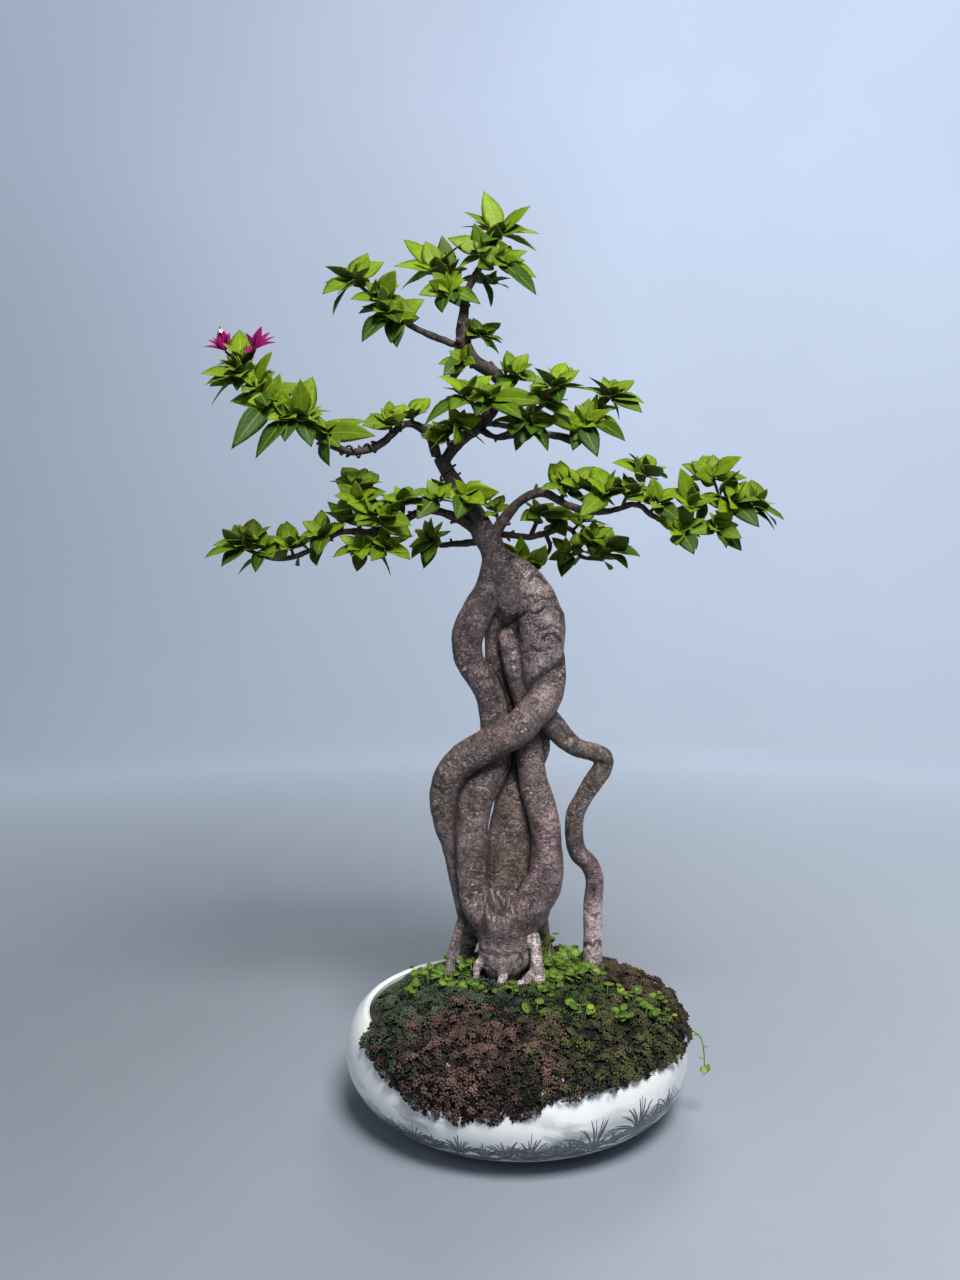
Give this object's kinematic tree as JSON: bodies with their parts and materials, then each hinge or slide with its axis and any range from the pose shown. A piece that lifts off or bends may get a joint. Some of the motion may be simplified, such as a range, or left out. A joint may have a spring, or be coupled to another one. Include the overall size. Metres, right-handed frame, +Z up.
{
  "type": "bougainvillea bonsai in a bowl",
  "caption": "Bonsai tree with a trunk of grown-together exposed roots, wired leafy branches and magenta flower bracts, rooted in mossy soil in a round white glazed bowl.",
  "frame": {"origin": "centre of the bowl's flat underside", "axes": "+Z up along the bowl's axis, -Y towards the tree's front, +X to the right as seen from the front"},
  "size_m": [0.597, 0.3684, 0.969],
  "materials": {
    "glaze": "glossy white glaze",
    "plastic_mesh": "matt black",
    "grit": "coarse grit",
    "earth": "damp crumbly soil",
    "root_bark": "wrinkled grey-brown bark",
    "branch_bark": "knobbly dark bark",
    "leaf": "smooth leaf with paler edges",
    "bract": "papery magenta",
    "wire": "brown anodised",
    "green_moss": "soft moss",
    "purple_moss": "soft moss",
    "olive_moss": "soft moss",
    "brown_moss": "soft moss",
    "round_leaf": "small smooth round leaves"
  },
  "bodies": {
    "root": {"pot": "glaze", "drain_mesh_1": "plastic_mesh", "drain_mesh_2": "plastic_mesh", "drain_mesh_3": "plastic_mesh", "drainage_gravel": "grit", "soil": "earth", "trunk_and_roots": "root_bark", "branch_leader": "branch_bark", "branch_flowering": "branch_bark", "branch_upper_left": "branch_bark", "branch_middle_right": "branch_bark", "branch_back_right": "branch_bark", "branch_low_left": "branch_bark", "branch_second_left": "branch_bark", "branch_low_right": "branch_bark", "branch_low_back": "branch_bark", "training_wire_fork": "wire", "training_wire_flowering": "wire", "leaves_apex": "leaf", "leaves_crown_left": "leaf", "leaves_upper_left": "leaf", "leaves_neck_left": "leaf", "leaves_neck_right": "leaf", "leaves_centre_right": "leaf", "leaves_front_left": "leaf", "leaves_front_right": "leaf", "leaves_fork_leaves": "leaf", "leaves_middle_right": "leaf", "leaves_far_right": "leaf", "leaves_flower_spray": "leaf", "leaves_flower_bend": "leaf", "leaves_flower_arch": "leaf", "leaves_flower_arch_right": "leaf", "leaves_low_left_upright": "leaf", "leaves_low_left_inner": "leaf", "leaves_low_left_middle": "leaf", "leaves_low_left_under": "leaf", "leaves_low_left_outer": "leaf", "leaves_second_left": "leaf", "leaves_trunk_middle": "leaf", "leaves_trunk_left": "leaf", "leaves_crotch": "leaf", "leaves_low_left_crook": "leaf", "leaves_right_first": "leaf", "leaves_right_front": "leaf", "leaves_right_second": "leaf", "leaves_right_outer": "leaf", "leaves_back_first": "leaf", "leaves_back_second": "leaf", "leaves_back_outer": "leaf", "leaves_loop_leaves": "leaf", "flower_bracts_left": "bract", "flower_bracts_right": "bract", "moss_green": "green_moss", "moss_purple": "purple_moss", "moss_olive": "olive_moss", "moss_brown": "brown_moss", "round_leaf_patch": "round_leaf", "trailing_runner": "round_leaf"}
  },
  "joints": []
}
